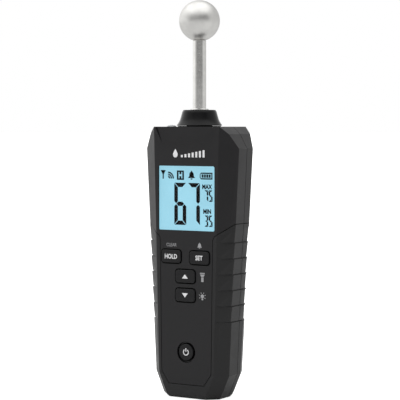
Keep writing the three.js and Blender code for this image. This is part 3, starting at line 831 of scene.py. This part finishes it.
def add_torch(bm, middle, front, thick):
    """A torch seen from the side, its lamp upwards."""
    x, z = middle
    parts = ((1.75, 1.45, 2.3, 1.45), (0.2, 0.7, 1.45, 1.45), (-2.4, 0.7, -0.05, 0.7))
    for low, low_half, high, high_half in parts:
        corners = [(-low_half, low), (low_half, low), (high_half, high), (-high_half, high)]
        add_plate(bm, [(x + across * MM, z + up * MM) for across, up in corners], front, thick)


def add_bulb(bm, middle, front, thick):
    """A lamp bulb with rays."""
    x, z = middle
    add_plate(bm, arc((x, z), 1.0 * MM, -62, 242, 16), front, thick)
    corners = [(-0.5, -1.05), (0.5, -1.05), (0.5, -2.0), (-0.5, -2.0)]
    add_plate(bm, [(x + across * MM, z + up * MM) for across, up in corners], front, thick)
    for turn in range(-30, 211, 48):
        angle = math.radians(turn)
        out = Vector((math.cos(angle), math.sin(angle)))
        side = Vector((-out.y, out.x)) * 0.17 * MM
        start = Vector((x, z)) + out * 1.4 * MM
        end = Vector((x, z)) + out * 2.1 * MM
        add_plate(bm, [start - side, end - side, end + side, start + side], front, thick)


class METER_OT_display(bpy.types.Operator):
    """The clear window, the lit display and its dark segments"""

    bl_idname = "meter.display"
    bl_label = "Display"

    def execute(self, context):
        window = copy_of("display_window")
        rim_rounded(window, Vector((0, -1, 0)), 0.15 * MM, 2)
        finished(window, "window_plate", "meter", [material("window")], ["display_window"])
        glass = copy_of("lcd_glass")
        finished(glass, "display_layer", "meter", [material("display")], ["lcd_glass"])
        ink = bmesh.new()
        draw_readout(ink)
        finished(ink, "display_segments", "meter", [material("display_ink")])
        dress("seal", "window_seal", "lcd_contact_strip")
        dress("white_plastic", "lcd_holder", "backlight_panel")
        return {"FINISHED"}


class Readout:
    """Places marks on the display by shares of the opening, from its top left corner."""

    def __init__(self):
        x, self.z, width, self.side = window_frame()
        self.across = width - 0.9 * MM
        self.x = x - 0.45 * MM
        self.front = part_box("lcd_glass")[0].y - 2 * sizes().ink
        self.thick = sizes().ink

    def at(self, across, down):
        return (self.x + (across - 0.5) * self.across, self.z + (0.5 - down) * self.side)

    def shape(self, bm, points):
        add_plate(bm, [self.at(*point) for point in points], self.front, self.thick)

    def oblong(self, bm, left, top, right, bottom):
        self.shape(bm, [(left, top), (right, top), (right, bottom), (left, bottom)])

    def words(self, bm, text, left, top, right, bottom, weight):
        x, z = self.at((left + right) / 2, (top + bottom) / 2)
        add_text(bm, text, (bottom - top) * self.side, (x, z), self.front, self.thick, weight, 0.86)

    def digit(self, bm, figure, left, top, right, bottom, stroke):
        """One seven-segment figure with mitred strokes."""
        half = stroke / 2
        slit = stroke * 0.11
        middle = (top + bottom) / 2
        for name in SEGMENTS[figure]:
            if name == "g":
                near, far = left + stroke + slit, right - stroke - slit
                outline = [(near - half, middle), (near, middle - half), (far, middle - half)]
                outline += [(far + half, middle), (far, middle + half), (near, middle + half)]
            elif name in "ad":
                out, inward = (top, 1) if name == "a" else (bottom, -1)
                outline = [(left + slit, out), (right - slit, out)]
                inner = out + inward * stroke
                outline += [(right - stroke - slit, inner), (left + stroke + slit, inner)]
            else:
                side, across = (left, 1) if name in "fe" else (right, -1)
                out, inward = (top, 1) if name in "fb" else (bottom, -1)
                end = middle - inward * slit
                inner = side + across * stroke
                outline = [(side, out + inward * slit), (inner, out + inward * (stroke + slit))]
                outline += [(inner, end - inward * half), (side + across * half, end)]
                outline.append((side, end - inward * half))
            self.shape(bm, outline)


def draw_readout(bm):
    page = Readout()
    page.digit(bm, "6", 0.27, 0.263, 0.491, 0.918, 0.066)
    page.digit(bm, "7", 0.52, 0.263, 0.741, 0.918, 0.066)
    page.digit(bm, "7", 0.824, 0.37, 0.892, 0.547, 0.027)
    page.digit(bm, "5", 0.9, 0.37, 0.97, 0.547, 0.027)
    page.digit(bm, "3", 0.824, 0.758, 0.892, 0.935, 0.027)
    page.digit(bm, "5", 0.9, 0.758, 0.97, 0.935, 0.027)
    page.words(bm, "MAX", 0.775, 0.28, 0.97, 0.353, 0.045)
    page.words(bm, "MIN", 0.785, 0.662, 0.96, 0.735, 0.045)
    draw_icons(bm, page)


def draw_icons(bm, page):
    """A mast, signal arcs, the hold box, a bell and the battery, in a row along the top."""
    page.oblong(bm, 0.052, 0.11, 0.074, 0.205)
    page.shape(bm, [(0.016, 0.07), (0.11, 0.07), (0.07, 0.14), (0.056, 0.14)])
    for radius in (0.02, 0.053, 0.086):
        x, z = page.at(0.155, 0.2)
        ring = band((x, z), radius * page.side, (radius + 0.022) * page.side, 0, 90, 8)
        add_plate(bm, ring, page.front, page.thick)
    draw_hold_box(bm, page)
    x, z = page.at(0.588, 0.138)
    add_bell(bm, (x, z), 0.064 * page.side, page.front, page.thick)
    draw_battery(bm, page)


def draw_hold_box(bm, page):
    """A filled box whose letter H is left open, made of five bars."""
    left, right, top, bottom = 0.318, 0.448, 0.072, 0.218
    page.oblong(bm, left, top, left + 0.03, bottom)
    page.oblong(bm, right - 0.03, top, right, bottom)
    inner = (left + 0.048, right - 0.048)
    page.oblong(bm, left + 0.03, top, right - 0.03, top + 0.022)
    page.oblong(bm, left + 0.03, bottom - 0.022, right - 0.03, bottom)
    page.oblong(bm, inner[0], top + 0.022, inner[1], top + 0.058)
    page.oblong(bm, inner[0], bottom - 0.058, inner[1], bottom - 0.022)


def draw_battery(bm, page):
    """An outlined cell, its nub to the left, with four filled bars."""
    left, right, top, bottom = 0.762, 0.968, 0.098, 0.205
    line = 0.02
    page.oblong(bm, left, top, right, top + line)
    page.oblong(bm, left, bottom - line, right, bottom)
    page.oblong(bm, right - line, top + line, right, bottom - line)
    tip, near = left - 0.024, left - 0.01
    high, low = top + 0.03, bottom - 0.03
    page.oblong(bm, tip, high, near, low)
    page.shape(bm, [(left, top), (left, top + line), (near, high), (tip, high)])
    page.shape(bm, [(left, bottom), (tip, low), (near, low), (left, bottom - line)])
    for step in range(4):
        start = left + 0.01 + step * 0.043
        page.oblong(bm, start, top + 0.028, start + 0.034, bottom - 0.028)


class METER_OT_probe(bpy.types.Operator):
    """The ball, its rod, the ring at the rod's foot and the flared collar"""

    bl_idname = "meter.probe"
    bl_label = "Probe"

    def execute(self, context):
        low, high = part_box("probe_ball")
        radius = (high.x - low.x) / 2
        middle = high.z - radius
        start = math.acos((middle - low.z) / radius)
        socket = STUD_RADIUS + STUD_PLAY
        deep = low.z + STUD_LENGTH + 0.2 * MM
        profile = [(0.0, deep), (socket, deep), (socket, low.z)]
        for step in range(49):
            angle = start + (math.pi - start) * step / 48
            profile.append((radius * math.sin(angle), middle - radius * math.cos(angle)))
        profile[-1] = (0.0, high.z)
        ball = turned(profile, 96)
        finished(ball, "ball_turned", "meter", [material("ball_steel")], ["probe_ball"])

        rod_low, rod_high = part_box("probe_rod")
        rod = (rod_high.x - rod_low.x) / 2
        top = low.z - 0.1 * MM
        bar = [(0, rod_low.z), (rod, rod_low.z), (rod, top - 0.3 * MM), (rod - 0.3 * MM, top)]
        stud_top = top + STUD_LENGTH
        bar += [(STUD_RADIUS, top), (STUD_RADIUS, stud_top), (0, stud_top)]
        finished(turned(bar), "rod_turned", "meter", [material("rod_steel")], ["probe_rod"])

        ring_low, ring_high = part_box("rod_ring")
        outer = (ring_high.x - ring_low.x) / 2
        inner = rod + STUD_PLAY
        hoop = [(inner, ring_low.z), (outer, ring_low.z), (outer, ring_high.z - EDGE_BREAK)]
        hoop += [(outer - EDGE_BREAK, ring_high.z), (inner, ring_high.z), (inner, ring_low.z)]
        finished(turned(hoop), "rod_ring_turned", "meter", [material("rod_steel")], ["rod_ring"])
        self.collar()
        return {"FINISHED"}

    def collar(self):
        low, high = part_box("probe_collar")
        base = (high.x - low.x) / 2
        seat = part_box("collar_gasket")[1].z + 0.1 * MM
        profile = [(COLLAR_BORE, low.z), (COLLAR_SPIGOT, low.z), (COLLAR_SPIGOT, seat)]
        profile.append((base - 0.25 * MM, seat))
        profile += [(base - 0.05 * MM, seat + 0.1 * MM), (base - 0.03 * MM, seat + 0.25 * MM)]
        for inward, up in COLLAR_CURVE:
            profile.append((base - inward * MM, seat + up * MM))
        shoulder = base - 3.25 * MM
        for step in range(5):
            turn = step / 4 * math.pi / 2
            out = shoulder + COLLAR_SHOULDER * (math.cos(turn) - 1)
            profile.append((out, high.z + COLLAR_SHOULDER * (math.sin(turn) - 1)))
        mouth = 0.3 * MM
        profile += [(COLLAR_BORE + mouth, high.z), (COLLAR_BORE, high.z - mouth), (COLLAR_BORE, low.z)]
        collar = turned(profile, 96)
        finished(collar, "collar_turned", "meter", [material("collar")], ["probe_collar"])


class METER_OT_lamp(bpy.types.Operator):
    """The work light's lens on the top face"""

    bl_idname = "meter.lamp"
    bl_label = "Work light"

    def execute(self, context):
        low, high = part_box("lamp_lens")
        x = (low.x + high.x) / 2
        y = (low.y + high.y) / 2
        flange = (high.x - low.x) / 2
        rim = low.z + LENS_FLANGE
        profile = [(0, low.z), (flange, low.z), (flange, rim), (LENS_RADIUS, rim)]
        crown = high.z - LENS_CROWN
        for step in range(9):
            turn = step / 8 * math.pi / 2
            profile.append((LENS_RADIUS * math.cos(turn), crown + LENS_CROWN * math.sin(turn)))
        profile[-1] = (0, high.z)
        lens = turned(profile, 48, "Z", (x, y, 0))
        finished(lens, "lamp_lens_moulded", "meter", [material("lamp")], ["lamp_lens"])
        dress("white_plastic", "lamp_diode")
        dress("board", "lamp_board")
        return {"FINISHED"}


class METER_OT_cells(bpy.types.Operator):
    """Three battery cells with a plain printed sleeve and metal ends"""

    bl_idname = "meter.cells"
    bl_label = "Battery cells"

    def execute(self, context):
        for number, node in enumerate(CELL_NODES, 1):
            low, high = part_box(node)
            radius = (high.x - low.x) / 2
            length = high.z - low.z
            band_start = length * SLEEVE_SHARE
            crown = length - 1.4 * MM
            profile = [(0, 0.25 * MM), (radius - 0.9 * MM, 0.25 * MM), (radius - 0.8 * MM, 0)]
            profile += [(radius - 0.35 * MM, 0), (radius, 0.35 * MM), (radius, band_start)]
            profile += [(radius, length - 1.8 * MM), (radius - 0.4 * MM, crown), (NIPPLE_RADIUS, crown)]
            profile += [(NIPPLE_RADIUS, length - EDGE_BREAK), (NIPPLE_RADIUS - EDGE_BREAK, length)]
            profile.append((0, length))
            bm = turned(profile, 48)
            for face in bm.faces:
                centre = face.calc_center_median()
                out = math.hypot(centre.x, centre.y)
                if out > radius - 0.3 * MM:
                    face.material_index = 1 if centre.z < band_start else 2
            if number == 2:
                over = Matrix.Rotation(math.pi, 3, "X")
                bmesh.ops.rotate(bm, verts=bm.verts, cent=(0, 0, length / 2), matrix=over)
            place = ((low.x + high.x) / 2, (low.y + high.y) / 2, low.z)
            bmesh.ops.translate(bm, verts=bm.verts, vec=place)
            finishes = [material("plated"), material("sleeve"), material("sleeve_band")]
            finished(bm, f"{node}_sleeved", f"cell_{number}", finishes, [node])
        return {"FINISHED"}


class METER_OT_insides(bpy.types.Operator):
    """Finishes for the inner pieces, which keep their CAD shape"""

    bl_idname = "meter.insides"
    bl_label = "Inner pieces"

    def execute(self, context):
        dress("board", "main_board", "sensor_board")
        dress("chip", "processor_chip", "sounder")
        dress("seal", "key_mat", "collar_gasket")
        dress("tray", "battery_tray")
        dress("brass", "collar_nut", "rod_nut", "rod_terminal")
        dress("wire", "probe_lead")
        dress("white_plastic", "probe_bush")
        dress("plated", "radio_module", "lower_contact", "upper_contact")
        dress("plated", *(key.replace("_key", "_switch") for key in KEY_NODES))
        dress("plated", *(f"cell_spring_{number}" for number in range(1, 4)))
        return {"FINISHED"}


class METER_OT_stage(bpy.types.Operator):
    """Camera, pale floor and the surround that lights the meter"""

    bl_idname = "meter.stage"
    bl_label = "Stage"

    def execute(self, context):
        self.camera(context)
        self.floor()
        self.surround(context)
        return {"FINISHED"}

    def camera(self, context):
        set_up = studio()
        data = bpy.data.cameras.new("camera")
        data.lens = set_up.lens
        data.sensor_width = 36.0
        camera = bpy.data.objects.new("camera", data)
        context.scene.collection.objects.link(camera)
        turn = set_up.azimuth
        aside = Vector((math.cos(turn), math.sin(turn), 0)) * set_up.aside
        place = Vector((math.sin(turn), -math.cos(turn), 0)) * set_up.distance + aside
        place.z = set_up.eye
        camera.location = place
        look = Vector((0, 0, set_up.aim)) + aside - place
        camera.rotation_euler = look.to_track_quat("-Z", "Y").to_euler()
        context.scene.camera = camera

    def floor(self):
        bm = bmesh.new()
        bmesh.ops.create_circle(bm, cap_ends=True, segments=64, radius=FLOOR_RADIUS)
        bmesh.ops.translate(bm, vec=(0, 0, -FLOOR_DROP), verts=bm.verts)
        made = to_object(bm, "floor")
        finish = Finish("floor", 0.8)
        finish.colour(finish.noise(0.4, 2.0), (0.64, 0.64, 0.64), (0.66, 0.66, 0.66))
        finish.shader.inputs["Emission Color"].default_value = (1, 1, 1, 1)
        seen = finish.node("ShaderNodeLightPath").outputs["Is Camera Ray"]
        glow = finish.ramp(seen, FLOOR_LIGHT, studio().floor_glow, 0.0, 1.0)
        finish.link(glow, finish.shader.inputs["Emission Strength"])
        made.data.materials.append(finish.material)

    def surround(self, context):
        """White to the eye; as light, bright behind, above and at the left, and dim in front."""
        world = bpy.data.worlds.new("surround")
        world.use_nodes = True
        tree = world.node_tree
        nodes, links = tree.nodes, tree.links
        seen = nodes["Background"]
        seen.inputs["Color"].default_value = (1, 1, 1, 1)
        place = nodes.new("ShaderNodeTexCoord").outputs["Generated"]
        total = None
        for toward, low, high, give in GLOWS:
            dot = nodes.new("ShaderNodeVectorMath")
            dot.operation = "DOT_PRODUCT"
            dot.inputs[1].default_value = Vector(toward).normalized()
            links.new(place, dot.inputs[0])
            lobe = nodes.new("ShaderNodeMapRange")
            lobe.interpolation_type = "SMOOTHSTEP"
            lobe.inputs["From Min"].default_value = low
            lobe.inputs["From Max"].default_value = high
            lobe.inputs["To Min"].default_value = 0.0
            lobe.inputs["To Max"].default_value = give
            links.new(dot.outputs["Value"], lobe.inputs["Value"])
            if total is None:
                total = lobe.outputs["Result"]
                continue
            summed = nodes.new("ShaderNodeMath")
            links.new(total, summed.inputs[0])
            links.new(lobe.outputs["Result"], summed.inputs[1])
            total = summed.outputs["Value"]
        base = nodes.new("ShaderNodeMath")
        base.inputs[1].default_value = BASE_GLOW
        links.new(total, base.inputs[0])
        given = nodes.new("ShaderNodeBackground")
        links.new(base.outputs["Value"], given.inputs["Strength"])
        path = nodes.new("ShaderNodeLightPath")
        mix = nodes.new("ShaderNodeMixShader")
        links.new(path.outputs["Is Camera Ray"], mix.inputs["Fac"])
        links.new(given.outputs["Background"], mix.inputs[1])
        links.new(seen.outputs["Background"], mix.inputs[2])
        links.new(mix.outputs["Shader"], nodes["World Output"].inputs["Surface"])
        context.scene.world = world
        context.scene.view_settings.view_transform = "Standard"


STEPS = (
    METER_OT_stage,
    METER_OT_cases,
    METER_OT_grips,
    METER_OT_battery_cover,
    METER_OT_case_screws,
    METER_OT_keys,
    METER_OT_case_marks,
    METER_OT_display,
    METER_OT_probe,
    METER_OT_lamp,
    METER_OT_cells,
    METER_OT_insides,
)


class METER_PT_panel(bpy.types.Panel):
    """Lists the meter's sizes, colours and steps"""

    bl_idname = "METER_PT_panel"
    bl_label = "Moisture Meter"
    bl_space_type = "VIEW_3D"
    bl_region_type = "UI"
    bl_category = "Meter"

    def draw(self, context):
        for group in (context.scene.meter_sizes, context.scene.meter_colours, context.scene.meter_studio):
            box = self.layout.box()
            for name in group.__annotations__:
                box.prop(group, name)
        for step in STEPS:
            self.layout.operator(step.bl_idname)


CLASSES = (MeterSizes, MeterColours, MeterStudio, *STEPS, METER_PT_panel)


def register():
    for item in CLASSES:
        bpy.utils.register_class(item)
    bpy.types.Scene.meter_sizes = bpy.props.PointerProperty(type=MeterSizes)
    bpy.types.Scene.meter_colours = bpy.props.PointerProperty(type=MeterColours)
    bpy.types.Scene.meter_studio = bpy.props.PointerProperty(type=MeterStudio)


def unregister():
    del bpy.types.Scene.meter_studio
    del bpy.types.Scene.meter_colours
    del bpy.types.Scene.meter_sizes
    for item in reversed(CLASSES):
        bpy.utils.unregister_class(item)


def main():
    register()
    for step in STEPS:
        group, name = step.bl_idname.split(".")
        getattr(getattr(bpy.ops, group), name)()


if __name__ == "__main__":
    main()
